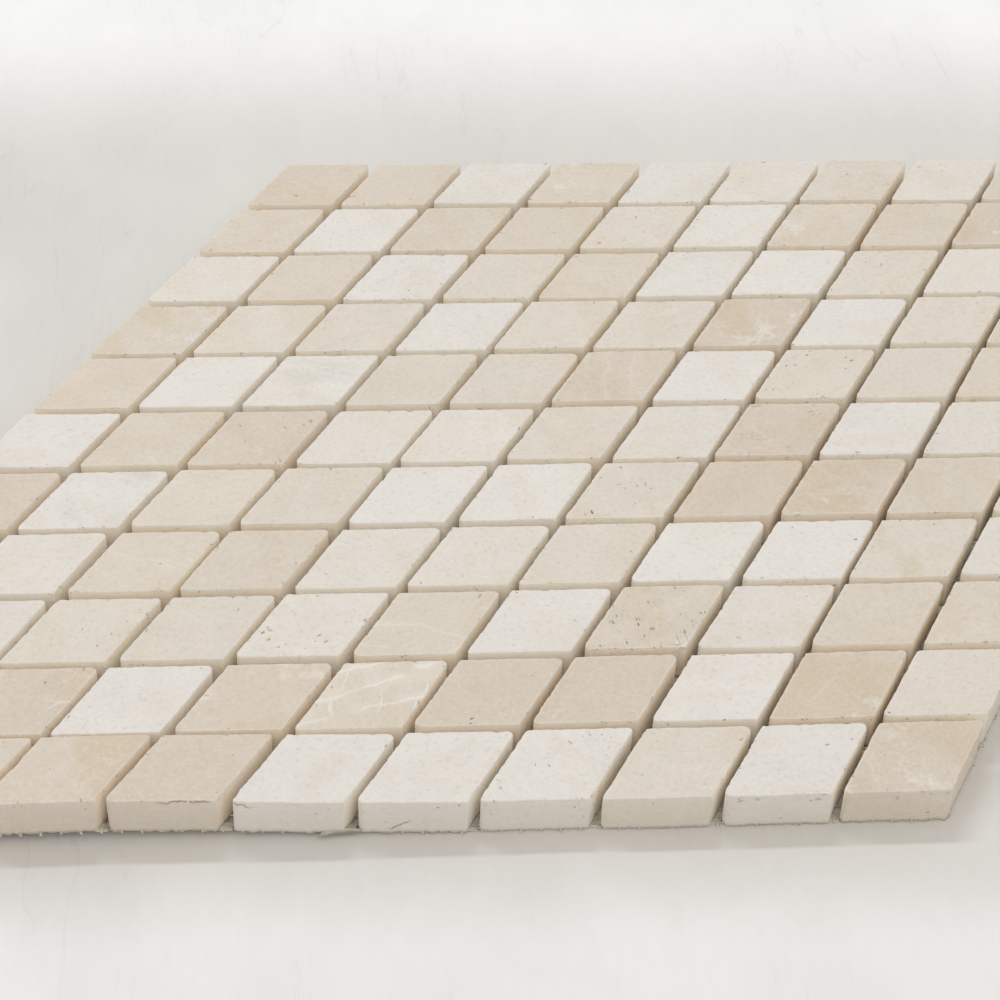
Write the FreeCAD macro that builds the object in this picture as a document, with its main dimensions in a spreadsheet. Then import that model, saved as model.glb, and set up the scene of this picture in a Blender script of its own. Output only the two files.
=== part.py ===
"""A mosaic tile sheet: rhombic stone tiles laid in slanted rows on a glass-fibre mesh.

The sheet lies face up on the XY plane. Its rows run along X and its columns lean over them by the
tile's own corner angle, so the whole sheet is a rhombus too. The origin is the middle of the back,
on the plane that the mesh lies on.
"""
import FreeCAD, Part
import math
import os

import Sketcher

# Driving dimensions, in millimetres and degrees
SIZES = {
    "tile_side": 25.4,
    "tile_thickness": 9.5,
    "corner_angle": 60,
    "joint_width": 2.0,
    "tile_rows": 11,
    "tile_columns": 11,
    "acute_corner_cut": 1.8,
    "obtuse_corner_cut": 0.6,
    "edge_chamfer": 0.5,
    "strand_pitch": 4.5,
    "strand_width": 0.8,
    "strand_thickness": 0.25,
    "mesh_overhang": 0.5,
}

# Lengths that follow from the driving dimensions, as expressions
ANGLE = "(sizes.corner_angle * 1 deg)"
PITCH = f"(sizes.tile_side + sizes.joint_width / sin{ANGLE})"
ROW_LENGTH = f"((sizes.tile_columns - 1) * {PITCH} + sizes.tile_side)"
COLUMN_LENGTH = f"((sizes.tile_rows - 1) * {PITCH} + sizes.tile_side)"
OVERHANG_ALONG = f"(sizes.mesh_overhang / sin{ANGLE})"
MESH_BASE = f"({ROW_LENGTH} + 2 * {OVERHANG_ALONG})"
MESH_SLANT = f"({COLUMN_LENGTH} + 2 * {OVERHANG_ALONG})"
MESH_WIDTH = f"({MESH_BASE} + {MESH_SLANT} * cos{ANGLE})"
MESH_DEPTH = f"({MESH_SLANT} * sin{ANGLE})"
MESH_THICKNESS = "(2 * sizes.strand_thickness)"


def make_sizes(doc):
    """The spreadsheet of driving dimensions, one named cell each."""
    sheet = doc.addObject("Spreadsheet::Sheet", "sizes")
    for row, (name, value) in enumerate(SIZES.items(), start=1):
        sheet.set(f"A{row}", name)
        sheet.set(f"B{row}", str(value))
        sheet.setAlias(f"B{row}", name)
    doc.recompute()
    return sheet


def origin_feature(body, role):
    """The body's own origin plane or axis that plays this role."""
    return next(feature for feature in body.Origin.OriginFeatures if feature.Role == role)


def place(item, x, y, z):
    """Binds an object's position to three expressions in millimetres."""
    for axis, expression in (("x", x), ("y", y), ("z", z)):
        item.setExpression(f"Placement.Base.{axis}", f"({expression}) * 1 mm")


def draw_loop(sketch, corners):
    """A closed loop of straight lines that starts on the sketch's origin."""
    for index, corner in enumerate(corners):
        sketch.addGeometry(Part.LineSegment(corner, corners[(index + 1) % 4]), False)
    for index in range(4):
        sketch.addConstraint(Sketcher.Constraint("Coincident", index, 2, (index + 1) % 4, 1))
    sketch.addConstraint(Sketcher.Constraint("Coincident", 0, 1, -1, 1))
    sketch.addConstraint(Sketcher.Constraint("Horizontal", 0))
    sketch.addConstraint(Sketcher.Constraint("Parallel", 0, 2))
    sketch.addConstraint(Sketcher.Constraint("Parallel", 1, 3))


def bind(sketch, name, constraint, expression):
    """Adds a named dimension to the sketch and binds it to an expression."""
    sketch.renameConstraint(sketch.addConstraint(constraint), name)
    sketch.setExpression(f"Constraints.{name}", expression)


def draw_parallelogram(sketch, sheet, base_length, slant_length):
    """A closed parallelogram with one corner on the sketch's origin and its base along X."""
    lean = math.radians(sheet.corner_angle)
    base = FreeCAD.Vector(sheet.tile_side, 0, 0)
    slant = FreeCAD.Vector(math.cos(lean), math.sin(lean), 0) * sheet.tile_side
    draw_loop(sketch, [FreeCAD.Vector(0, 0, 0), base, base + slant, slant])
    bind(sketch, "base_length", Sketcher.Constraint("Distance", 0, 1, 0, 2, sheet.tile_side), base_length)
    bind(sketch, "slant_length", Sketcher.Constraint("Distance", 3, 1, 3, 2, sheet.tile_side), slant_length)
    bind(sketch, "lean", Sketcher.Constraint("Angle", 0, 1, 3, 2, lean), ANGLE)


def draw_strand(sketch, sheet, length):
    """A strand seen from above, with one corner on the sketch's origin and its length along X."""
    along = FreeCAD.Vector(sheet.tile_side, 0, 0)
    across = FreeCAD.Vector(0, sheet.strand_width, 0)
    draw_loop(sketch, [FreeCAD.Vector(0, 0, 0), along, along + across, across])
    sketch.addConstraint(Sketcher.Constraint("Vertical", 3))
    bind(sketch, "length", Sketcher.Constraint("DistanceX", 0, 1, 0, 2, along.x), length)
    bind(sketch, "width", Sketcher.Constraint("DistanceY", 3, 2, 3, 1, across.y), "sizes.strand_width")


def is_upright(edge):
    """Tells the upright edges of a standing prism from its level ones."""
    return edge.BoundBox.ZLength > edge.Length / 2


def upright_edges(shape):
    """Names of the upright edges, in the order in which they stand along X."""
    edges = enumerate(shape.Edges, start=1)
    upright = [(edge.CenterOfMass.x, f"Edge{number}") for number, edge in edges if is_upright(edge)]
    return [name for x, name in sorted(upright)]


def level_edges(shape):
    """Names of the edges round the top and the bottom."""
    edges = enumerate(shape.Edges, start=1)
    return [f"Edge{number}" for number, edge in edges if not is_upright(edge)]


def cut_edges(doc, body, name, base, edges, size):
    """Chamfers the named edges of the feature before it."""
    chamfer = body.newObject("PartDesign::Chamfer", name)
    chamfer.Base = (base, edges)
    chamfer.setExpression("Size", size)
    doc.recompute()
    return chamfer


def repeat(body, name, axis, spacing, count):
    """Repeats the body's whole shape along one of its own axes and makes that its result."""
    pattern = body.newObject("PartDesign::LinearPattern", name)
    pattern.TransformMode = "Whole shape"
    pattern.Direction = (origin_feature(body, axis), [""])
    pattern.Mode = "Spacing"
    pattern.setExpression("Offset", spacing)
    pattern.setExpression("Occurrences", count)
    body.Tip = pattern


def make_tile_row(doc, sheet, row):
    """One row of tiles: a rhombic tile with blunted corners and worn edges, repeated along X."""
    label = f"tile_row_{row + 1:02d}"
    body = doc.addObject("PartDesign::Body", label)
    body.Label = label

    outline = body.newObject("Sketcher::SketchObject", f"{label}_outline")
    outline.AttachmentSupport = [(origin_feature(body, "XY_Plane"), "")]
    outline.MapMode = "FlatFace"
    draw_parallelogram(outline, sheet, "sizes.tile_side", "sizes.tile_side")

    slab = body.newObject("PartDesign::Pad", f"{label}_slab")
    slab.Profile = outline
    slab.setExpression("Length", "sizes.tile_thickness")
    doc.recompute()

    # The rhombus's obtuse corners stand between its acute ones along X
    obtuse = upright_edges(slab.Shape)[1:-1]
    shoulders = cut_edges(doc, body, f"{label}_shoulders", slab, obtuse, "sizes.obtuse_corner_cut")
    standing = upright_edges(shoulders.Shape)
    acute = [standing[0], standing[-1]]
    points = cut_edges(doc, body, f"{label}_points", shoulders, acute, "sizes.acute_corner_cut")
    rims = level_edges(points.Shape)
    cut_edges(doc, body, f"{label}_worn_edges", points, rims, "sizes.edge_chamfer")
    repeat(body, f"{label}_tiles", "X_Axis", PITCH, "sizes.tile_columns")

    up_the_column = f"({row} * {PITCH} - {COLUMN_LENGTH} / 2)"
    place(
        body,
        f"{up_the_column} * cos{ANGLE} - {ROW_LENGTH} / 2",
        f"{up_the_column} * sin{ANGLE}",
        MESH_THICKNESS,
    )
    return body


def make_mesh_blank(doc, sheet):
    """The outline that the mesh is cut to, as thick as the mesh."""
    sketch = doc.addObject("Sketcher::SketchObject", "mesh_cut_line")
    draw_parallelogram(sketch, sheet, MESH_BASE, MESH_SLANT)
    place(sketch, f"-{MESH_WIDTH} / 2", f"-{MESH_DEPTH} / 2", "0")
    blank = doc.addObject("Part::Extrusion", "mesh_blank")
    blank.Base = sketch
    blank.DirMode = "Normal"
    blank.Solid = True
    blank.setExpression("LengthFwd", MESH_THICKNESS)
    return blank


def make_strand_layer(doc, sheet, blank, label, turned):
    """One layer of the mesh: like strands side by side, cut to the mesh's outline.

    The lower layer's strands run along X. The upper layer is turned by a quarter, so that its
    strands cross them, and lies on them.
    """
    length, span = (MESH_DEPTH, MESH_WIDTH) if turned else (MESH_WIDTH, MESH_DEPTH)
    body = doc.addObject("PartDesign::Body", f"{label}_strands")
    plan = body.newObject("Sketcher::SketchObject", f"{label}_strand_plan")
    plan.AttachmentSupport = [(origin_feature(body, "XY_Plane"), "")]
    plan.MapMode = "FlatFace"
    draw_strand(plan, sheet, length)
    strand = body.newObject("PartDesign::Pad", f"{label}_strand")
    strand.Profile = plan
    strand.setExpression("Length", "sizes.strand_thickness")
    doc.recompute()

    each_side = f"floor(({span} / 2 - sizes.strand_width) / sizes.strand_pitch)"
    repeat(body, f"{label}_repeat", "Y_Axis", "sizes.strand_pitch", f"2 * {each_side} + 1")

    to_first = f"({each_side} * sizes.strand_pitch + sizes.strand_width / 2)"
    if turned:
        body.Placement.Rotation = FreeCAD.Rotation(FreeCAD.Vector(0, 0, 1), 90)
        place(body, to_first, f"-{length} / 2", "sizes.strand_thickness")
    else:
        place(body, f"-{length} / 2", f"-{to_first}", "0")

    layer = doc.addObject("Part::Common", label)
    layer.Label = label
    layer.Base = body
    layer.Tool = blank
    return layer


def check(doc, subparts):
    """Stops the build if anything in the document has failed."""
    for item in doc.Objects:
        if "Invalid" in item.State or "Error" in item.State:
            raise RuntimeError(f"{item.Name} did not recompute: {item.State}")
    for item in subparts:
        if item.Shape.isNull() or not item.Shape.isValid() or not item.Shape.Solids:
            raise RuntimeError(f"{item.Label} has no valid solid")


def main():
    doc = FreeCAD.newDocument("mosaic_sheet")
    sheet = make_sizes(doc)
    subparts = [make_tile_row(doc, sheet, row) for row in range(int(sheet.tile_rows))]
    blank = make_mesh_blank(doc, sheet)
    subparts.append(make_strand_layer(doc, sheet, blank, "mesh_weft", False))
    subparts.append(make_strand_layer(doc, sheet, blank, "mesh_warp", True))
    doc.recompute()
    check(doc, subparts)
    os.makedirs("parts", exist_ok=True)
    for item in subparts:
        item.Shape.exportStep(f"parts/{item.Label}.step")
        box = item.Shape.BoundBox
        print(
            f"{item.Label}: {len(item.Shape.Solids)} solids, {item.Shape.Volume:.1f} mm3, "
            f"x {box.XMin:.2f} to {box.XMax:.2f}, y {box.YMin:.2f} to {box.YMax:.2f}, "
            f"z {box.ZMin:.2f} to {box.ZMax:.2f}"
        )


main()
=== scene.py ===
"""The looks of the mosaic tile sheet: tumbled stone tiles held by a woven glass-fibre net.

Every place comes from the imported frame: the rows' boxes give the pitch, the lean and the size of
the tiles, and the net's boxes give the levels of its threads. Lengths are in metres, and MM turns
a length written in millimetres into metres.
"""
import math

import bpy
import numpy as np
from mathutils import Matrix, Vector


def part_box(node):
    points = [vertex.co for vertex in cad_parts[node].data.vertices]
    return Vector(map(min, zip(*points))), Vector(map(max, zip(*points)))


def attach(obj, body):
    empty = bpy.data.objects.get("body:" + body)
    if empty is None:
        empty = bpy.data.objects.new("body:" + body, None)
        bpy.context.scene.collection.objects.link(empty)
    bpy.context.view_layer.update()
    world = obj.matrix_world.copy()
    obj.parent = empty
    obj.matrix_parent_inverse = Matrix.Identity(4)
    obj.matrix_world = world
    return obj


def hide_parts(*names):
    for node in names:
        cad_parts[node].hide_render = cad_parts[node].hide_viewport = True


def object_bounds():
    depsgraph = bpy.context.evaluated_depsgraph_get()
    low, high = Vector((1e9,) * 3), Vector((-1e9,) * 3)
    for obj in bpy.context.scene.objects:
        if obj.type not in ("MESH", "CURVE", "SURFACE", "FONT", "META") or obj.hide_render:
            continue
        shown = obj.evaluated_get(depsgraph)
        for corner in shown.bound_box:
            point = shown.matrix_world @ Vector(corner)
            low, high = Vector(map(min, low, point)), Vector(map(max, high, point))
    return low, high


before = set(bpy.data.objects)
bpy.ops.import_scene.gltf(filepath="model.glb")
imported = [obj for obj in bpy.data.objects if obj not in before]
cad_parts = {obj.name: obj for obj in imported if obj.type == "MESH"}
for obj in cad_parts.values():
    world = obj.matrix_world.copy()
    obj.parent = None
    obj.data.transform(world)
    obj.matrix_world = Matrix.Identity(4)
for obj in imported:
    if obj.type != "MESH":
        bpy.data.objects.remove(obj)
CAD_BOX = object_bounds()

MM = 0.001

# The lattice of the tiles, read from the frame
ROWS = sorted(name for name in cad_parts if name.startswith("tile_row_"))


def middle_of(node):
    """The middle of a node's box."""
    low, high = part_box(node)
    return np.array((low + high) / 2)


ROW_LOW, ROW_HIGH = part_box(ROWS[0])
NEXT_ROW = middle_of(ROWS[1]) - middle_of(ROWS[0])
PITCH = float(np.linalg.norm(NEXT_ROW))
ALONG = np.array([1.0, 0.0])
LEAN = NEXT_ROW[:2] / PITCH
SLANT = float(LEAN[0] / LEAN[1])
SIDE = (ROW_HIGH.y - ROW_LOW.y) / LEAN[1]
THICKNESS = ROW_HIGH.z - ROW_LOW.z
COLUMNS = round((ROW_HIGH.x - ROW_LOW.x - SIDE * (1 + LEAN[0])) / PITCH) + 1

# How each tile looks, from the back row to the front one: the letter of its tone, then of its figure
TILE_MAP = """
B.  T.  P.  Tc  P.  I.  C.  I.  T.  P.  B.
Tv  P.  T.  T.  Cp  P.  Tc  T.  Bc  C.  P.
I.  Tv  Pp  C.  T.  P.  P.  Cp  I.  T.  B.
Tc  Cv  C.  Pv  C.  Cv  Bc  P.  Cv  T.  I.
T.  P.  Pg  C.  C.  Bv  P.  Cp  C.  T.  P.
P.  Tv  Bp  Iv  Iv  C.  I.  BO  P.  Ip  T.
B.  Pg  C.  C.  Pv  P.  Cp  B.  Bc  T.  C.
C.  I.  Tv  T.  I.  Iv  C.  P.  P.  Cc  I.
T.  I.  Cp  C.  Ip  TV  P.  TO  Iv  T.  Tv
P.  C.  BV  P.  Bc  TW  Bp  Bv  P.  Bc  Cv
C.  T.  T.  Bc  B.  Pv  P.  Pp  Cv  Pp  Bc
"""
TONES = {
    "P": (232, 226, 220),
    "I": (230, 222, 213),
    "C": (226, 216, 204),
    "T": (222, 210, 195),
    "B": (218, 204, 188),
}
# The strengths of veins, pits, clouds and grey bands in each figure
FIGURES = {
    ".": (0.10, 0.10, 0.45, 0.0),
    "v": (0.38, 0.10, 0.55, 0.0),
    "V": (0.65, 0.15, 0.70, 0.0),
    "W": (1.50, 0.10, 0.60, 0.0),
    "p": (0.10, 0.55, 0.55, 0.1),
    "O": (0.25, 1.00, 0.70, 0.2),
    "c": (0.25, 0.15, 1.00, 0.0),
    "g": (0.20, 0.20, 0.45, 0.7),
}
# Dark scars on front faces, by row and column: two ends, each as a place along X and a depth
SCARS = {
    (1, 5): ((-6.9 * MM, 0.45 * MM), (5.4 * MM, 0.25 * MM)),
    (1, 6): ((-18.6 * MM, 0.6 * MM), (-14.2 * MM, 1.6 * MM)),
    (1, 7): ((-11.3 * MM, 8.3 * MM), (-6.6 * MM, 6.1 * MM)),
}

# The photograph's camera
CAMERA_PLACE = (-63.8 * MM, -500.7 * MM, 418.3 * MM)
CAMERA_DOWN = 40.65
CAMERA_TOWARDS_X = 5.15
CAMERA_ROLL = 2.37
CAMERA_LENS = 87.8
SENSOR_WIDTH = 36.0

# The light: a window behind the sheet on the left, a faint fill from the front, and an even room.
# Each lamp: its height in degrees, its turn from the Y axis towards X, its distance, its width
# and height, and its power
LAMPS = {
    "window": (53.0, -25.0, 4.0, 2.4, 0.25, 40.0),
    "fill": (45.0, 160.0, 3.0, 2.6, 1.6, 5.0),
}
LAMP_COLOUR = (0.93, 0.985, 1.09)
ROOM_STRENGTH = 0.73
ROOM_COLOUR = (1.0, 0.985, 0.93, 1.0)

# How far the faintest pit darkens the stone, how far a crack does, and the grit round dense pits
FAINT_PIT = 0.12
DEEP_PIT = 0.75
GRIT = 1.0
# Painted light: a faint glow of the walls inside the joints, standing in for the light that comes through the
# stone
GLOW = 0.052
GLOW_COLOUR = (1.0, 0.87, 0.74, 1.0)


def linear(red, green, blue):
    """A colour of the screen, 0 to 255, as linear red, green, blue and alpha."""
    shares = [value / 255 for value in (red, green, blue)]
    return (*[s / 12.92 if s <= 0.04045 else ((s + 0.055) / 1.055) ** 2.4 for s in shares], 1.0)


# Shader nodes


def new_material(name):
    """A node material, with its tree and its surface shader."""
    material = bpy.data.materials.new(name)
    material.use_nodes = True
    return material, material.node_tree, material.node_tree.nodes["Principled BSDF"]


def add(tree, kind, inputs=None, **settings):
    """Adds a node, with its settings, and fills its inputs with values or with other outputs."""
    node = tree.nodes.new(kind)
    for name, value in settings.items():
        setattr(node, name, value)
    for key, value in (inputs or {}).items():
        if isinstance(value, bpy.types.NodeSocket):
            tree.links.new(value, node.inputs[key])
        else:
            node.inputs[key].default_value = value
    return node


def calc(tree, operation, *values):
    """The output of a maths node on these values."""
    return add(tree, "ShaderNodeMath", dict(enumerate(values)), operation=operation).outputs[0]


def step(tree, value, low, high, start=0.0, end=1.0):
    """Goes smoothly from start to end as the value goes from low to high."""
    inputs = {"Value": value, "From Min": low, "From Max": high, "To Min": start, "To Max": end}
    return add(tree, "ShaderNodeMapRange", inputs, interpolation_type="SMOOTHSTEP").outputs["Result"]


def noise(tree, place, scale, detail=3.0, roughness=0.55, distortion=0.0):
    """Cloudy noise from 0 to 1."""
    inputs = {
        "Vector": place, "Scale": scale, "Detail": detail, "Roughness": roughness, "Distortion": distortion,
    }
    return add(tree, "ShaderNodeTexNoise", inputs).outputs["Fac"]


def stretch(tree, place, turn, scale):
    """The place, turned about the upright axis by an angle in degrees, then scaled."""
    inputs = {"Vector": place, "Rotation": (0.0, 0.0, math.radians(turn)), "Scale": scale}
    return add(tree, "ShaderNodeMapping", inputs).outputs["Vector"]


def mix(tree, factor, first, second):
    """The first colour, or the second where the factor is 1."""
    node = add(tree, "ShaderNodeMix", {0: factor, 6: first, 7: second}, data_type="RGBA")
    return node.outputs[2]


def tint(tree, colour, shade):
    """The colour multiplied by a grey value."""
    inputs = {0: 1.0, 6: colour, 7: shade}
    return add(tree, "ShaderNodeMix", inputs, data_type="RGBA", blend_type="MULTIPLY").outputs[2]


def ridge(tree, value, width):
    """Thin lines where a noise passes through its middle value."""
    off = calc(tree, "ABSOLUTE", calc(tree, "SUBTRACT", value, 0.5))
    return step(tree, off, 0.15 * width, width, 1.0, 0.0)


def distance(tree, x, y):
    """How far the point x, y lies from the origin."""
    return calc(tree, "SQRT", calc(tree, "MULTIPLY_ADD", x, x, calc(tree, "MULTIPLY", y, y)))


def attribute(tree, name):
    return add(tree, "ShaderNodeAttribute", attribute_name=name)


def bump(tree, surface, height):
    """Relief of this height in millimetres."""
    inputs = {"Height": height, "Strength": 1.0, "Distance": MM}
    tree.links.new(add(tree, "ShaderNodeBump", inputs).outputs["Normal"], surface.inputs["Normal"])


def make_stone():
    """Tumbled limestone. Its grain follows each tile's own place in the block, in millimetres."""
    material, tree, surface = new_material("stone")
    place = attribute(tree, "block_place").outputs["Vector"]
    tone = attribute(tree, "tone")
    colour = tone.outputs["Color"]
    veins = add(tree, "ShaderNodeSeparateXYZ", {0: attribute(tree, "veins").outputs["Vector"]})
    vein, veinlet, vein_strength = veins.outputs
    marks = add(tree, "ShaderNodeSeparateXYZ", {0: attribute(tree, "marks").outputs["Vector"]})
    crack, crack_strength, pit_chance = marks.outputs
    finish = add(tree, "ShaderNodeSeparateXYZ", {0: attribute(tree, "finish").outputs["Vector"]})
    sawn, rim, glue = finish.outputs

    mottle = noise(tree, place, 0.8, 4, 0.62)
    fine = noise(tree, place, 3.1, 1, 0.5)
    jitter = calc(tree, "SUBTRACT", noise(tree, place, 1.3, 1, 0.5), 0.5)

    # White patches with ragged edges, a fine mottle, and warm and pale freckles
    patch = calc(tree, "MULTIPLY_ADD", calc(tree, "SUBTRACT", mottle, 0.5), 1.3, tone.outputs["Alpha"])
    patch = step(tree, patch, 0.30, 1.00, 0.0, 0.60)
    colour = mix(tree, patch, colour, linear(236, 229, 220))
    colour = tint(tree, colour, step(tree, mottle, 0.3, 0.7, 0.965, 1.022))
    colour = mix(tree, step(tree, mottle, 0.42, 0.30, 0.0, 0.35), colour, linear(206, 188, 162))
    freckle = step(tree, calc(tree, "MULTIPLY_ADD", mottle, 0.5, fine), 0.80, 0.98, 0.0, 0.42)
    colour = mix(tree, freckle, colour, linear(238, 232, 224))

    # White veins with soft whitish streaks beside them
    ragged_vein = calc(tree, "ABSOLUTE", calc(tree, "MULTIPLY_ADD", jitter, 0.55, vein))
    ragged_veinlet = calc(tree, "ABSOLUTE", calc(tree, "MULTIPLY_ADD", jitter, 0.45, veinlet))
    line = step(tree, ragged_vein, 0.05, 0.32, 0.70, 0.0)
    line = calc(tree, "MAXIMUM", line, step(tree, ragged_veinlet, 0.03, 0.22, 0.55, 0.0))
    line = calc(tree, "MAXIMUM", line, step(tree, ragged_vein, 0.1, 1.6, 0.20, 0.0))
    line = calc(tree, "MINIMUM", calc(tree, "MULTIPLY", line, vein_strength), 0.8)
    colour = mix(tree, line, colour, linear(240, 235, 228))

    # Pits in clusters, and dark hairline cracks
    bedding = stretch(tree, place, 0, (0.5, 1.5, 1.2))
    cells = add(tree, "ShaderNodeTexVoronoi", {"Vector": bedding, "Scale": 1.0})
    cell = add(tree, "ShaderNodeSeparateXYZ", {0: cells.outputs["Color"]})
    there = calc(tree, "LESS_THAN", cell.outputs[0], pit_chance)
    reach = calc(tree, "MULTIPLY_ADD", calc(tree, "POWER", cell.outputs[1], 2.5), 0.30, 0.03)
    ragged = calc(tree, "MULTIPLY_ADD", jitter, 0.5, cells.outputs["Distance"])
    pit = calc(tree, "MULTIPLY", step(tree, calc(tree, "SUBTRACT", ragged, reach), -0.04, 0.14, 1.0, 0.0), there)
    ragged_crack = calc(tree, "ABSOLUTE", calc(tree, "MULTIPLY_ADD", jitter, 0.6, crack))
    split = calc(tree, "MULTIPLY", step(tree, ragged_crack, 0.02, 0.17, 1.0, 0.0), crack_strength)
    hollow = calc(tree, "MAXIMUM", pit, split)
    shade = calc(tree, "MULTIPLY_ADD", calc(tree, "POWER", cell.outputs[2], 1.5), DEEP_PIT, FAINT_PIT)
    grit = calc(tree, "MULTIPLY", step(tree, fine, 0.54, 0.74, 0.0, GRIT), pit_chance)
    shade = calc(tree, "MAXIMUM", calc(tree, "MULTIPLY", pit, shade), grit)
    shade = calc(tree, "MAXIMUM", shade, calc(tree, "MULTIPLY", split, DEEP_PIT))
    colour = mix(tree, shade, colour, linear(132, 108, 82))

    # The sawn sides, whose colour is partly painted light on the walls, a lighter band along the top rim, and
    # the glue at the foot
    # The sides are mixed towards a pale colour: partly the sawn stone's own finish, partly painted light that
    # brightens the walls where they lie in shade
    colour = mix(tree, calc(tree, "MULTIPLY", sawn, 0.40), colour, linear(229, 221, 209))
    # A lighter band along the top rim of each tile
    colour = mix(tree, calc(tree, "MULTIPLY", rim, 0.30), colour, linear(238, 232, 224))
    colour = mix(tree, calc(tree, "MULTIPLY", glue, 0.55), colour, linear(204, 197, 182))
    tree.links.new(colour, surface.inputs["Base Color"])
    # Painted light: the walls inside the joints glow faintly
    glow = mix(tree, attribute(tree, "painted_joint_glow").outputs["Fac"], (0.0, 0.0, 0.0, 1.0), GLOW_COLOUR)
    tree.links.new(glow, surface.inputs["Emission Color"])
    surface.inputs["Emission Strength"].default_value = GLOW

    rough = calc(tree, "MULTIPLY_ADD", mottle, 0.16, calc(tree, "MULTIPLY_ADD", sawn, 0.12, 0.50))
    tree.links.new(rough, surface.inputs["Roughness"])
    surface.inputs["Specular IOR Level"].default_value = 0.35

    saw_marks = noise(tree, stretch(tree, place, 0, (0.25, 0.25, 3.2)), 1.0, 1, 0.5)
    height = calc(tree, "MULTIPLY", mottle, 0.06)
    height = calc(tree, "MULTIPLY_ADD", fine, 0.025, height)
    height = calc(tree, "MULTIPLY_ADD", calc(tree, "MULTIPLY", saw_marks, sawn), 0.12, height)
    height = calc(tree, "MULTIPLY_ADD", hollow, -0.25, height)
    bump(tree, surface, height)
    return material


def make_net_finish(name, colour, roughness):
    """Resin-coated glass fibre or dried glue: off-white, a little glossy, with fine streaks."""
    material, tree, surface = new_material(name)
    place = add(tree, "ShaderNodeTexCoord").outputs["Object"]
    streaks = noise(tree, place, 900.0, 4, 0.6)
    worn = noise(tree, place, 120.0, 3, 0.6)
    shade = tint(tree, linear(*colour), step(tree, streaks, 0.3, 0.7, 0.90, 1.0))
    tree.links.new(mix(tree, step(tree, worn, 0.45, 0.7, 0.0, 0.4), shade, linear(196, 190, 174)),
                   surface.inputs["Base Color"])
    surface.inputs["Roughness"].default_value = roughness
    bump(tree, surface, calc(tree, "MULTIPLY", streaks, 0.04))
    return material


# Painted light: the table is painted paler at some distance from a slanted strip on which the sheet lies:
# half the strip's width, and the distances from its middle at which the change begins and ends, in front and
# behind
PAINTED_DIM_REACH = 0.20
PAINTED_LIGHT_IN_FRONT = (140 * MM, 168 * MM)
PAINTED_LIGHT_BEHIND = (148 * MM, 240 * MM)


def make_floor_finish():
    """A pale, faintly smudged and scratched table top, painted paler away from the sheet as painted light."""
    material, tree, surface = new_material("table_top")
    place = add(tree, "ShaderNodeTexCoord").outputs["Object"]
    x, y, _ = add(tree, "ShaderNodeSeparateXYZ", {0: place}).outputs
    smudge = noise(tree, stretch(tree, place, -12, (16.0, 9.0, 1.0)), 1.0, 5, 0.62, 0.4)
    y = calc(tree, "ADD", y, calc(tree, "MULTIPLY_ADD", smudge, 0.016, -0.008))
    along = calc(tree, "ABSOLUTE", calc(tree, "MULTIPLY_ADD", y, -SLANT, x))
    beside = calc(tree, "MULTIPLY", calc(tree, "MAXIMUM", calc(tree, "SUBTRACT", along, PAINTED_DIM_REACH), 0.0), 0.6)
    behind = distance(tree, beside, calc(tree, "MAXIMUM", y, 0.0))
    in_front = distance(tree, beside, calc(tree, "MINIMUM", calc(tree, "MULTIPLY_ADD", x, 0.03, y), 0.0))
    # Painted light: the share of the paler colour, growing away from the sheet
    far = calc(tree, "MAXIMUM", step(tree, behind, *PAINTED_LIGHT_BEHIND), step(tree, in_front, *PAINTED_LIGHT_IN_FRONT, 0.0, 0.6))
    colour = mix(tree, far, linear(225, 221, 217), linear(252, 251, 251))
    colour = tint(tree, colour, step(tree, smudge, 0.3, 0.7, 1.025, 0.955))
    brushed = noise(tree, stretch(tree, place, 12, (500.0, 70.0, 1.0)), 1.0, 3, 0.6)
    colour = tint(tree, colour, step(tree, brushed, 0.3, 0.7, 0.990, 1.005))
    scratch = ridge(tree, noise(tree, stretch(tree, place, 12, (130.0, 14.0, 1.0)), 1.0, 2, 0.5, 0.5), 0.012)
    shown = step(tree, smudge, 0.45, 0.60, 0.0, 0.11)
    colour = mix(tree, calc(tree, "MULTIPLY", scratch, shown), colour, linear(172, 166, 150))
    tree.links.new(colour, surface.inputs["Base Color"])
    surface.inputs["Roughness"].default_value = 0.6
    surface.inputs["Specular IOR Level"].default_value = 0.25
    return material


# Meshes

# The sheet is flexible. Its front left corner curls up a little, and the front row is pushed back
# there, which narrows its joint. Each place is where that begins and where it is complete.
CURL_HEIGHT = 1.9 * MM
CURL_PUSH = 1.2 * MM
CURL_LEFT = (20 * MM, 120 * MM)
CURL_FRONT = (95 * MM, 134 * MM)
PUSH_FRONT = (107.5 * MM, 109.5 * MM)


def rise(value, low, high):
    """Goes smoothly from 0 to 1 as the value goes from low to high."""
    part = np.clip((value - low) / (high - low), 0, 1)
    return part * part * (3 - 2 * part)


def curled(points):
    """The points, lifted and pushed back as the curled corner moves them."""
    left = rise(-points[:, 0], *CURL_LEFT)
    lift = CURL_HEIGHT * left * rise(-points[:, 1], *CURL_FRONT)
    push = CURL_PUSH * left * rise(-points[:, 1], *PUSH_FRONT)
    return points + np.column_stack([np.zeros(len(points)), push, lift])


def make_piece(name, parts, material, node_names):
    """Joins parts, each a pair of points and faces, to one piece that stands for CAD nodes."""
    points = []
    faces = []
    count = 0
    for part_points, part_faces in parts:
        points.append(part_points)
        faces += [tuple(index + count for index in face) for face in part_faces]
        count += len(part_points)
    mesh = bpy.data.meshes.new(name)
    mesh.from_pydata(curled(np.concatenate(points)).tolist(), [], faces)
    mesh.polygons.foreach_set("use_smooth", [True] * len(mesh.polygons))
    mesh.materials.append(material)
    piece = bpy.data.objects.new(name, mesh)
    bpy.context.scene.collection.objects.link(piece)
    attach(piece, "root")
    if node_names:
        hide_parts(*node_names)
    return piece


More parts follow.
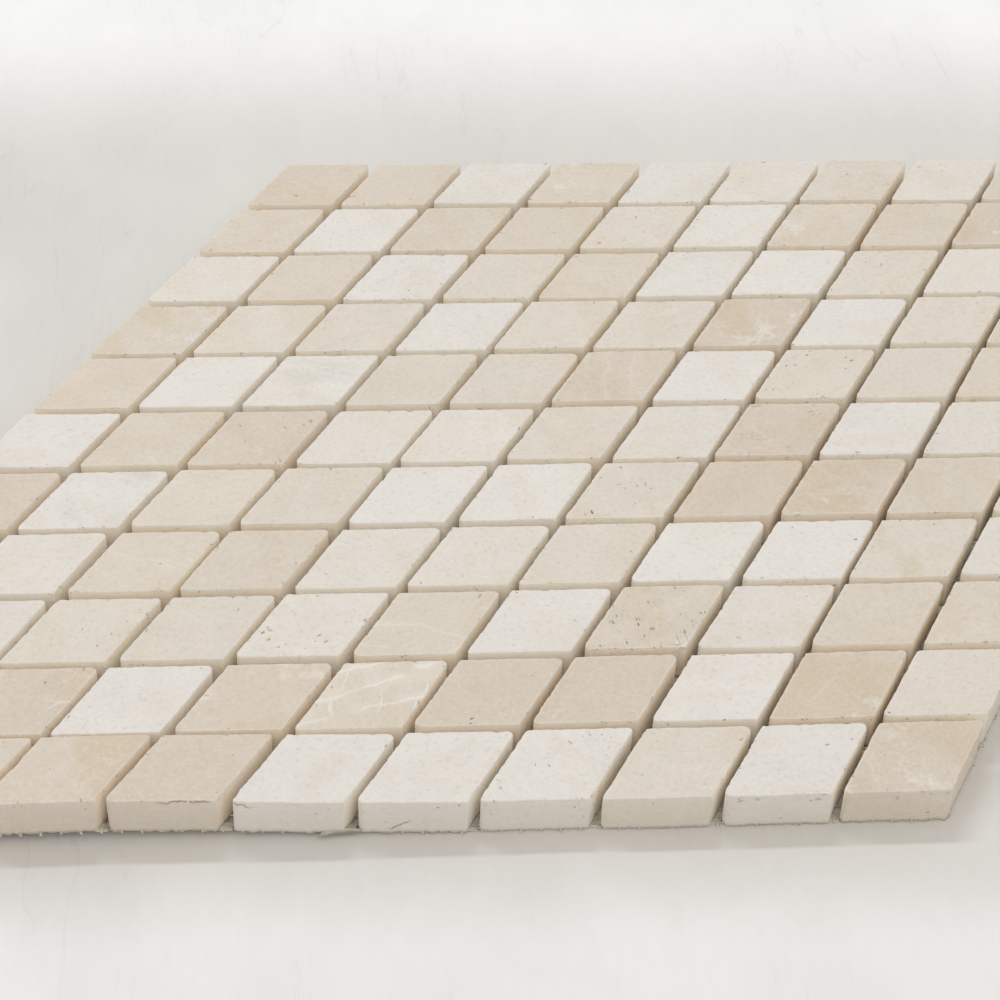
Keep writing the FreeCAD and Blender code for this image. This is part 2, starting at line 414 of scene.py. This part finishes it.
# Rings of points down a tile's edge: how far in from the side, and how far below the top
EDGE_RINGS = (
    (0.32 * MM, 0.0), (0.15 * MM, 0.05 * MM), (0.04 * MM, 0.17 * MM), (0.0, 0.40 * MM),
    (0.0, 3.0 * MM), (0.0, 5.8 * MM), (0.0, 7.2 * MM),
    (0.0, THICKNESS - 1.2 * MM), (0.0, THICKNESS - 0.6 * MM), (0.0, THICKNESS + 0.25 * MM),
    (0.60 * MM, THICKNESS + 0.20 * MM), (1.00 * MM, THICKNESS),
)
TOP_STEPS = 30
NEAR_EDGE = (0.985, 0.95)
ACUTE_ROUND = (0.8 * MM, 1.7 * MM)
OBTUSE_ROUND = (0.3 * MM, 0.7 * MM)
WAVE_LENGTHS = np.array([19.0, 8.0, 4.3, 2.9, 2.1, 1.7]) * MM
WAVE_HEIGHTS = np.array([0.045, 0.025, 0.022, 0.028, 0.028, 0.028]) * MM
WAVE_REACH = 0.9 * MM
CHIPS_PER_SIDE = 4
CHIP_WIDTH = (0.5 * MM, 1.3 * MM)
CHIP_DEPTH = (0.02 * MM, 0.20 * MM)
CHIP_HEIGHT = 0.7 * MM
# The ragged lip of glue round a tile's foot: how high it climbs and how far it stands out
LIP_HEIGHT = 1.0 * MM
LIP_DEPTH = 0.38 * MM
LIP_DROP = 0.20 * MM
LIP_RAGS = 1.1
LIP_SHARES = (1.0, 0.35, 1.0, 0.35)
PILLOW = 0.06 * MM
SHIFT = 0.20 * MM
TURN = 0.30
TILT = 0.0035
LEVEL = 0.10 * MM
BLOCK_SIZE = 4000.0
# The chance of a pit where the rim crumbles
CRUMBLE = 0.65
# Painted light in the joints: how far the walls' colour is raised there, and the brightest it may get
PAINTED_JOINT_LIGHT = np.array([0.26, 0.23, 0.16])
BRIGHTEST = np.array([0.92, 0.86, 0.77])
# How much of the painted glow is lost from the top of a wall to its foot
GLOW_FADE = 1.0

# Smooth noise for everything slower than the grain
KNOTS = 64
TABLE = np.random.default_rng(3).uniform(-1, 1, (KNOTS, KNOTS, KNOTS))
CORNERS = [(i, j, k) for i in (0, 1) for j in (0, 1) for k in (0, 1)]


def soft_noise(places, size, octaves=2):
    """Smooth noise, about -1 to 1, with features of this size."""
    total = np.zeros(len(places))
    for octave in range(octaves):
        at = places * 2 ** octave / size
        base = np.floor(at).astype(int)
        part = at - base
        part = part * part * (3 - 2 * part)
        for corner in CORNERS:
            share = np.prod(np.where(corner, part, 1 - part), axis=1)
            i, j, k = ((base + corner) % KNOTS).T
            total += share * TABLE[i, j, k] / 2 ** octave
    return total


def grid_steps():
    """Places along a side from -1 to 1, closer together near the edges."""
    middle = np.linspace(-NEAR_EDGE[1], NEAR_EDGE[1], TOP_STEPS + 1)
    return np.concatenate([[-1, -NEAR_EDGE[0]], middle, [NEAR_EDGE[0], 1]])


def rounded_rhombus(u, v, inset, rounds):
    """Points of a rhombus with rounded corners, from shares u and v of its half sides."""
    half = SIDE / 2 - inset / LEAN[1]
    points = half * (u[..., None] * ALONG + v[..., None] * LEAN)
    for (sign_u, sign_v), corner_round in rounds.items():
        radius = max(corner_round - inset, 0.05 * MM)
        back_u = -sign_u * ALONG
        back_v = -sign_v * LEAN
        inward = (back_u + back_v) / np.linalg.norm(back_u + back_v)
        half_sine = math.sqrt((1 - back_u @ back_v) / 2)
        centre = half * (sign_u * ALONG + sign_v * LEAN) + inward * radius / half_sine
        out_v = -(back_v - (back_v @ back_u) * back_u)
        out_u = -(back_u - (back_u @ back_v) * back_v)
        out_v /= np.linalg.norm(out_v)
        out_u /= np.linalg.norm(out_u)
        away = points - centre
        distance = np.maximum(np.linalg.norm(away, axis=-1), 1e-12)
        beyond = (away @ back_u < 0) & (away @ back_v < 0)
        factor = np.maximum(away @ out_v, away @ out_u) / distance
        points = np.where(beyond[..., None], centre + away * factor[..., None], points)
    return points


def tile_faces(steps):
    """Faces of one tile: the grid on top, the bands down the edge and the back."""
    across = steps + 1
    faces = [
        (i * across + j, (i + 1) * across + j, (i + 1) * across + j + 1, i * across + j + 1)
        for i in range(steps)
        for j in range(steps)
    ]
    front = [(i, 0) for i in range(steps)]
    right = [(steps, j) for j in range(steps)]
    back = [(steps - i, steps) for i in range(steps)]
    left = [(0, steps - j) for j in range(steps)]
    border = front + right + back + left
    above = [i * across + j for i, j in border]
    around = len(border)
    start = across * across
    for band in range(len(EDGE_RINGS) - 1):
        below = list(range(start + band * around, start + (band + 1) * around))
        for k in range(around):
            after = (k + 1) % around
            faces.append((above[k], below[k], below[after], above[after]))
        above = below
    faces.append(tuple(reversed(above)))
    return border, faces


GRID = grid_steps()
BORDER, TILE_FACES = tile_faces(len(GRID) - 1)
BORDER_U = GRID[[i for i, j in BORDER]]
BORDER_V = GRID[[j for i, j in BORDER]]
# Each side of a tile: its middle, seen from the tile's, its direction and its outward normal
OUT_OF_LEAN = np.array([LEAN[1], -LEAN[0]])
SIDES = (
    (-LEAN * SIDE / 2, ALONG, np.array([0.0, -1.0])),
    (ALONG * SIDE / 2, LEAN, OUT_OF_LEAN),
    (LEAN * SIDE / 2, -ALONG, np.array([0.0, 1.0])),
    (-ALONG * SIDE / 2, -LEAN, -OUT_OF_LEAN),
)


def wear(points, depth, chances):
    """Moves points in and out near the sides: saw waves, chips along the top edge, and the lip of glue.

    Also gives how far the stone falls there and how much glue there is.
    """
    moved = points.copy()
    fall = np.zeros(len(points))
    glue = np.zeros(len(points))
    near_top = np.exp(-depth / CHIP_HEIGHT)
    foot = rise(depth, THICKNESS - LIP_HEIGHT - 0.3 * MM, THICKNESS)
    for number, (middle, direction, outward) in enumerate(SIDES):
        inside = np.maximum(-(points - middle) @ outward, 0)
        along = (points - middle) @ direction
        near = np.exp(-inside / WAVE_REACH)
        phases = chances.uniform(0, 2 * math.pi, len(WAVE_LENGTHS))
        twists = chances.uniform(-1, 1, len(WAVE_LENGTHS)) / WAVE_LENGTHS
        angle = 2 * math.pi * along[:, None] / WAVE_LENGTHS + phases + depth[:, None] * twists
        out = (np.sin(angle) * WAVE_HEIGHTS).sum(1)
        for _ in range(CHIPS_PER_SIDE):
            at = chances.uniform(-SIDE / 2, SIDE / 2)
            width = chances.uniform(*CHIP_WIDTH)
            bite = chances.uniform(*CHIP_DEPTH) * np.maximum(0, 1 - ((along - at) / width) ** 2) ** 0.7
            out -= bite * near_top
            fall += 0.7 * bite * near_top * near
        trail = np.column_stack([along / MM, depth / MM, np.full(len(along), chances.uniform(0, BLOCK_SIZE))])
        lip = LIP_SHARES[number] * foot * rise(soft_noise(trail, LIP_RAGS), -0.5, 0.9)
        out += lip * LIP_DEPTH
        fall += LIP_DROP * lip * near
        glue = np.maximum(glue, lip * near)
        moved += (near * out)[:, None] * outward
        fall += PILLOW * near * near_top
    return moved, fall, glue


def mixed(first, second, share):
    """The first colour, or the second where the share is 1."""
    return first + (np.array(second) - first) * share[:, None]


def parallel_lines(along, spacing):
    """Zero at each line, and about the distance from it nearby."""
    return spacing / math.pi * np.sin(math.pi * along / spacing)


def stone_look(block, tone, figure, chances):
    """The slow parts of a tile's pattern at each point: its colour, its veins, and its cracks and pits."""
    veins, pits, clouds, grey = figure
    flat = block * (0.6, 1.5, 1.2)
    colour = np.tile(tone, (len(block), 1))
    colour = mixed(colour, tone * linear(250, 246, 238), clouds * rise(soft_noise(flat, 13.0, 3), 0.0, 0.7))
    colour = mixed(colour, linear(212, 207, 197), grey * 0.6 * rise(soft_noise(flat, 9.0, 4), 0.0, 0.6))
    colour *= 1 + 0.02 * soft_noise(block, 5.0, 2)[:, None]

    colour[:, 3] = clouds * rise(soft_noise(block, 7.0, 3), 0.0, 1.3)

    bare = 0.1 - 0.45 * veins
    shown = rise(soft_noise(block, 11.0, 2), bare, bare + 0.5)
    bent = block + 1.5 * soft_noise(block, 6.0, 1)[:, None]
    wobble = 3.2 * soft_noise(block, 13.0, 1) + 0.7 * soft_noise(block, 3.5, 2)
    vein = parallel_lines(block @ (0.92, 0.30, 0.25) + wobble, chances.uniform(6, 10))
    veinlet = parallel_lines(block @ (0.35, 0.85, 0.35) - 1.6 * wobble, chances.uniform(5, 9))
    narrow = rise(soft_noise(block, 6.0, 1), -0.3, 0.4)
    vein *= 0.40 + 0.9 * narrow
    veinlet *= 1.35 - 0.9 * narrow
    crack = 7.0 * soft_noise(bent * (0.7, 1.2, 1.0), 7.0, 2)
    opened = rise(soft_noise(block, 7.0, 2), 0.15, 0.5)
    cluster = rise(soft_noise(block, 5.5, 3), -0.2, 0.7)
    return (
        colour,
        np.column_stack([vein, veinlet, veins * shown]),
        np.column_stack([crack, max(pits - 0.6, 0) * opened, 0.55 * pits ** 1.5 * cluster ** 1.5]),
    )


def add_scar(marks, points, depth, inside_front, ends):
    """Turns the crack of these points into a scar on the front face, from one end to the other."""
    start = np.array(ends[0])
    reach = np.array(ends[1]) - start
    size = np.linalg.norm(reach)
    away = np.column_stack([points[:, 0], depth]) - start
    part = away @ reach / size ** 2
    off = (away[:, 0] * reach[1] - away[:, 1] * reach[0]) / size
    front = (inside_front < 1.0 * MM) & (depth > 0)
    here = rise(part, -0.05, 0.1) * rise(1 - part, -0.05, 0.15) * rise(-np.abs(off), -2.5 * MM, -1.5 * MM)
    ragged = 0.25 * soft_noise(points[:, :1] / MM * (1.0, 0.0, 0.0), 1.6, 2)
    marks[:, 0] = np.where(front, 0.6 * off / MM + ragged, marks[:, 0])
    marks[:, 1] = np.where(front, here, marks[:, 1])


def make_tile(middle, tone, figure, scar, open_sides, chances):
    """One tile as points, with what the stone finish needs to know at each of them.

    The walls inside the joints get painted light, standing in for the light that comes through the stone: their
    colour is raised and they glow faintly, but not the sides that lie open on the sheet's border.
    """
    rounds = {
        (-1, -1): chances.uniform(*ACUTE_ROUND),
        (1, 1): chances.uniform(*ACUTE_ROUND),
        (1, -1): chances.uniform(*OBTUSE_ROUND),
        (-1, 1): chances.uniform(*OBTUSE_ROUND),
    }
    rubbed = chances.uniform(0.6, 1.4)
    grid_u, grid_v = np.meshgrid(GRID, GRID, indexing="ij")
    flat = [rounded_rhombus(grid_u, grid_v, EDGE_RINGS[0][0] * rubbed, rounds).reshape(-1, 2)]
    depth = [np.zeros(grid_u.size)]
    for inset, below in EDGE_RINGS[1:]:
        flat.append(rounded_rhombus(BORDER_U, BORDER_V, inset * rubbed, rounds))
        depth.append(np.full(len(BORDER_U), below))
    flat = np.concatenate(flat)
    depth = np.concatenate(depth)
    worn, fall, glue = wear(flat, depth, chances)

    angle = math.radians(chances.normal(0, TURN))
    turn = np.array([[math.cos(angle), -math.sin(angle)], [math.sin(angle), math.cos(angle)]])
    shift = chances.normal(0, SHIFT, 2).clip(-2 * SHIFT, 2 * SHIFT)
    slope = worn @ chances.uniform(-TILT, TILT, 2) + chances.uniform(-LEVEL, LEVEL)
    height = ROW_HIGH.z - depth - fall + slope * np.clip(1 - depth / THICKNESS, 0, 1)

    spin = chances.uniform(0, 2 * math.pi)
    swing = np.array([[math.cos(spin), -math.sin(spin), 0], [math.sin(spin), math.cos(spin), 0], [0, 0, 1]])
    block = np.column_stack([flat, -depth]) / MM @ swing.T + chances.uniform(0, BLOCK_SIZE, 3)
    colour, veins, marks = stone_look(block, tone, figure, chances)
    inside = [-(flat - side_middle) @ outward for side_middle, _, outward in SIDES]
    if scar:
        add_scar(marks, flat, depth, inside[0], scar)
    sawn = np.clip((depth - 0.10 * MM) / (0.3 * MM), 0, 1)
    rim = np.exp(-((np.min(inside, axis=0) - 0.25 * MM) / (0.30 * MM)) ** 2) * np.exp(-depth / (0.3 * MM))
    crumbling = np.exp(-(np.min(inside, axis=0) / (0.6 * MM)) ** 2) * np.exp(-depth / (1.0 * MM))
    marks[:, 2] += CRUMBLE * crumbling * rise(soft_noise(block, 4.0, 2), -0.2, 0.6)
    # Painted light: the walls inside the joints are painted brighter and marked to glow
    in_joint = sawn * ~np.isin(np.argmin(inside, axis=0), open_sides)
    colour[:, :3] = np.minimum(colour[:, :3] * (1 + PAINTED_JOINT_LIGHT * in_joint[:, None]), BRIGHTEST)
    return {
        "points": np.column_stack([worn @ turn.T + middle + shift, height]),
        "block_place": block,
        "tone": colour,
        "veins": veins,
        "marks": marks,
        "finish": np.column_stack([sawn, rim, glue]),
        "painted_joint_glow": in_joint * (1 - GLOW_FADE * depth / THICKNESS).clip(0, 1),
    }


def make_tile_row(row, letters, stone):
    """A row of tiles as one joined mesh that stands for the row's node."""
    name = ROWS[row]
    chances = np.random.default_rng(100 + row)
    centre = middle_of(name)[:2]
    tiles = []
    for column, (tone, figure) in enumerate(letters):
        middle = centre + (column - (COLUMNS - 1) / 2) * PITCH * ALONG
        colour = np.array(linear(*(np.array(TONES[tone]) + chances.uniform(-2.0, 2.0))))
        scar = SCARS.get((row + 1, column + 1))
        borders = (row == 0, column == COLUMNS - 1, row == len(ROWS) - 1, column == 0)
        open_sides = [side for side, is_open in enumerate(borders) if is_open]
        tiles.append(make_tile(middle, colour, FIGURES[figure], scar, open_sides, chances))
    piece = make_piece(f"tiles_{name[-2:]}", [(tile["points"], TILE_FACES) for tile in tiles], stone, [name])
    mesh = piece.data
    for key in ("block_place", "veins", "marks", "finish"):
        values = np.concatenate([tile[key] for tile in tiles]).astype(np.float32)
        mesh.attributes.new(key, "FLOAT_VECTOR", "POINT").data.foreach_set("vector", values.ravel())
    glow = np.concatenate([tile["painted_joint_glow"] for tile in tiles]).astype(np.float32)
    mesh.attributes.new("painted_joint_glow", "FLOAT", "POINT").data.foreach_set("value", glow)
    tones = np.concatenate([tile["tone"] for tile in tiles]).astype(np.float32)
    mesh.color_attributes.new("tone", "FLOAT_COLOR", "POINT").data.foreach_set("color", tones.ravel())
    return piece


# The net: flat weft bundles along the rows, held between pairs of twisted warp threads
NET_PITCH = 4.5 * MM
WEFT_WIDTH = 0.8 * MM
WARP_WIDTH = 0.42 * MM
THREAD_HEIGHT = 0.20 * MM
NET_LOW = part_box("mesh_weft")[0].z
NET_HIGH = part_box("mesh_warp")[1].z
NET_MIDDLE = (NET_LOW + NET_HIGH) / 2
NET_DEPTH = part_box("mesh_warp")[1].y
OVERHANG = NET_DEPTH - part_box(ROWS[-1])[1].y
ROW_REACH = ((COLUMNS - 1) * PITCH + SIDE) / 2 + OVERHANG / LEAN[1]
# How far the outermost bundle along the rows lies in from the end of the net
UNDER_EDGE = 1.5 * MM


def make_thread(path, across, width):
    """A thin lens-shaped thread along a path, as points and faces."""
    size = width * np.ones(len(path))
    half_width = size[:, None] / 2 * across
    half_height = np.array([0, 0, THREAD_HEIGHT / 2])
    corners = np.stack([path - half_width, path - half_height, path + half_width, path + half_height], axis=1)
    points = corners.reshape(-1, 3)
    faces = []
    for k in range(len(path) - 1):
        for side in range(4):
            after = (side + 1) % 4
            faces.append((4 * k + side, 4 * k + after, 4 * k + 4 + after, 4 * k + 4 + side))
    last = 4 * (len(path) - 1)
    faces += [(3, 2, 1, 0), (last, last + 1, last + 2, last + 3)]
    return points, faces


def thread_steps(low, high):
    """Places along a thread: at each crossing, half way between crossings, and at both ends."""
    first = math.ceil(low / (NET_PITCH / 2) + 0.2)
    last = math.floor(high / (NET_PITCH / 2) - 0.2)
    inner = np.arange(first, last + 1) * NET_PITCH / 2
    return np.concatenate([[low], inner, [high]])


def make_weft(finish):
    """The flat bundles along the rows."""
    chances = np.random.default_rng(7)
    each_side = round((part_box("mesh_weft")[1].y - WEFT_WIDTH / 2) / NET_PITCH)
    threads = []
    for k in range(-each_side, each_side + 1):
        y = float(np.clip(k * NET_PITCH, UNDER_EDGE - NET_DEPTH, NET_DEPTH - UNDER_EDGE))
        stub = chances.uniform(-1.2, 0.0, 2) * MM
        x = thread_steps(y * SLANT - ROW_REACH - stub[0], y * SLANT + ROW_REACH + stub[1])
        sway = chances.normal(0, 0.05 * MM, len(x))
        path = np.column_stack([x, y + sway, np.full(len(x), NET_MIDDLE)])
        widths = WEFT_WIDTH * chances.uniform(0.85, 1.2, len(x))
        threads.append(make_thread(path, np.array([0.0, 1.0, 0.0]), widths))
    return make_piece("net_weft", threads, finish, ["mesh_weft"])


def make_warp(finish):
    """The twisted pairs of threads across the rows."""
    chances = np.random.default_rng(8)
    each_side = round((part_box("mesh_warp")[1].x - WEFT_WIDTH / 2) / NET_PITCH)
    rise = (NET_HIGH - NET_LOW - THREAD_HEIGHT) / 2
    threads = []
    for k in range(-each_side, each_side + 1):
        x = k * NET_PITCH
        low = max(-NET_DEPTH, (x - ROW_REACH) / SLANT)
        high = min(NET_DEPTH, (x + ROW_REACH) / SLANT)
        slanted = np.array([low > -NET_DEPTH, high < NET_DEPTH])
        stub = (chances.uniform(-0.5, 0.2, 2) - 0.7 * slanted) * MM
        y = thread_steps(low - stub[0], high + stub[1])
        for turned in (0, math.pi):
            angle = math.pi * y / NET_PITCH + turned
            swing = 0.24 * MM * np.sin(angle)
            path = np.column_stack([x + swing, y, NET_MIDDLE + rise * np.cos(angle)])
            threads.append(make_thread(path, np.array([1.0, 0.0, 0.0]), WARP_WIDTH))
    return make_piece("net_warp", threads, finish, ["mesh_warp"])


# Glue: a low web across the end of each joint at the sheet's border, and one torn flake
WEB_ACROSS = np.linspace(-1, 1, 7)
WEB_INTO = np.linspace(0, 1, 5)
WEB_LENGTH = 2.6 * MM
WEB_HEIGHT = (0.7 * MM, 1.5 * MM)
WEB_FOOT = 0.05 * MM
WEB_INSET = 0.5 * MM
FLAKE = (
    (8.6, 0.1, 1.10), (7.0, -1.7, 0.10), (9.6, -1.0, 0.30), (11.6, -0.7, 0.40), (13.8, -0.7, 0.40),
    (16.4, -0.4, 0.60), (17.4, 0.1, 0.90), (13.0, 0.1, 1.35),
)


def make_web(end, across, into, chances):
    """A low saddle of glue between two tiles, from the end of their joint a little way into it."""
    end = end + WEB_INSET * into
    half = (PITCH - SIDE) / 2 + 0.25 * MM
    height = chances.uniform(*WEB_HEIGHT)
    foot = end + (-0.25 * MM * into)[None, :] + WEB_ACROSS[:, None] * half * across
    rows = [np.column_stack([foot, np.full(len(foot), WEB_FOOT)])]
    for part in WEB_INTO:
        flat = end + part * WEB_LENGTH * into + WEB_ACROSS[:, None] * half * across
        flat = flat + chances.normal(0, 0.06 * MM, flat.shape)
        saddle = 0.30 + 0.70 * WEB_ACROSS ** 2
        rows.append(np.column_stack([flat, WEB_FOOT + height * saddle * (1 - 0.75 * part)]))
    points = np.concatenate(rows)
    count = len(WEB_ACROSS)
    faces = [
        (row * count + k, row * count + k + 1, (row + 1) * count + k + 1, (row + 1) * count + k)
        for row in range(len(rows) - 1)
        for k in range(count - 1)
    ]
    return points, faces


def make_glue(finish):
    """The webs round the border, and the flake that hangs out under the front row."""
    chances = np.random.default_rng(9)
    sheet = middle_of(ROWS[len(ROWS) // 2])[:2]
    half_row = ((COLUMNS - 1) * PITCH + SIDE) / 2
    half_column = ((len(ROWS) - 1) * PITCH + SIDE) / 2
    parts = []
    for k in range(COLUMNS - 1):
        along = (k + 1 - COLUMNS / 2) * PITCH * ALONG
        parts.append(make_web(sheet + along - half_column * LEAN, ALONG, LEAN, chances))
        parts.append(make_web(sheet + along + half_column * LEAN, -ALONG, -LEAN, chances))
    for k in range(len(ROWS) - 1):
        up = (k + 1 - len(ROWS) / 2) * PITCH * LEAN
        parts.append(make_web(sheet + up - half_row * ALONG, -LEAN, ALONG, chances))
        parts.append(make_web(sheet + up + half_row * ALONG, LEAN, -ALONG, chances))
    front_middle = middle_of(ROWS[0])[:2] - LEAN * SIDE / 2
    flake = np.array(FLAKE) * MM + np.array([*front_middle, 0.0])
    count = len(flake)
    under = flake - (0.0, 0.0, 0.10 * MM)
    skirt = [(k, (k + 1) % count, count + (k + 1) % count, count + k) for k in range(count)]
    parts.append((np.concatenate([flake, under]), [tuple(range(count)), tuple(range(2 * count - 1, count - 1, -1)), *skirt]))
    return make_piece("glue", parts, finish, [])


# Stage, light and camera


def make_floor():
    """A wide pale floor just under the net."""
    reach = 4.0
    mesh = bpy.data.meshes.new("floor")
    z = CAD_BOX[0].z
    mesh.from_pydata([(-reach, -reach, z), (reach, -reach, z), (reach, reach, z), (-reach, reach, z)], [], [(0, 1, 2, 3)])
    mesh.materials.append(make_floor_finish())
    floor = bpy.data.objects.new("floor", mesh)
    bpy.context.scene.collection.objects.link(floor)


def make_lamp(name, height, turn, distance, width, breadth, power):
    """A rectangular lamp that looks at the middle of the sheet, with its width along X."""
    lamp = bpy.data.lights.new(name, "AREA")
    lamp.shape = "RECTANGLE"
    lamp.size = width
    lamp.size_y = breadth
    lamp.energy = power
    lamp.color = LAMP_COLOUR
    height = math.radians(height)
    turn = math.radians(turn)
    towards = Vector((math.sin(turn) * math.cos(height), math.cos(turn) * math.cos(height), math.sin(height)))
    holder = bpy.data.objects.new(name, lamp)
    holder.location = towards * distance
    sideways = (Vector((1.0, 0.0, 0.0)) - towards * towards.x).normalized()
    holder.rotation_euler = Matrix((sideways, towards.cross(sideways), towards)).transposed().to_euler()
    bpy.context.scene.collection.objects.link(holder)


def make_light():
    """The lamps, and an even room."""
    for name, values in LAMPS.items():
        make_lamp(name, *values)
    world = bpy.data.worlds.new("room")
    world.use_nodes = True
    background = world.node_tree.nodes["Background"]
    background.inputs["Color"].default_value = ROOM_COLOUR
    background.inputs["Strength"].default_value = ROOM_STRENGTH
    bpy.context.scene.world = world


def make_camera():
    """The camera, at the photograph's place and angle."""
    data = bpy.data.cameras.new("camera")
    data.lens = CAMERA_LENS
    data.sensor_width = SENSOR_WIDTH
    data.clip_start = 0.01
    camera = bpy.data.objects.new("camera", data)
    turn = Matrix.Rotation(math.radians(-CAMERA_TOWARDS_X), 4, "Z")
    tip = Matrix.Rotation(math.radians(90 - CAMERA_DOWN), 4, "X")
    roll = Matrix.Rotation(math.radians(CAMERA_ROLL), 4, "Z")
    camera.matrix_world = Matrix.Translation(CAMERA_PLACE) @ turn @ tip @ roll
    bpy.context.scene.collection.objects.link(camera)
    bpy.context.scene.camera = camera


def main():
    make_camera()
    stone = make_stone()
    layout = [line.split() for line in TILE_MAP.strip().splitlines()]
    for row, letters in enumerate(reversed(layout)):
        make_tile_row(row, letters, stone)
    net = make_net_finish("glass_net", (226, 224, 214), 0.45)
    make_weft(net)
    make_warp(net)
    make_glue(make_net_finish("dried_glue", (205, 199, 182), 0.4))
    make_floor()
    make_light()
    bpy.context.scene.view_settings.view_transform = "Standard"


main()
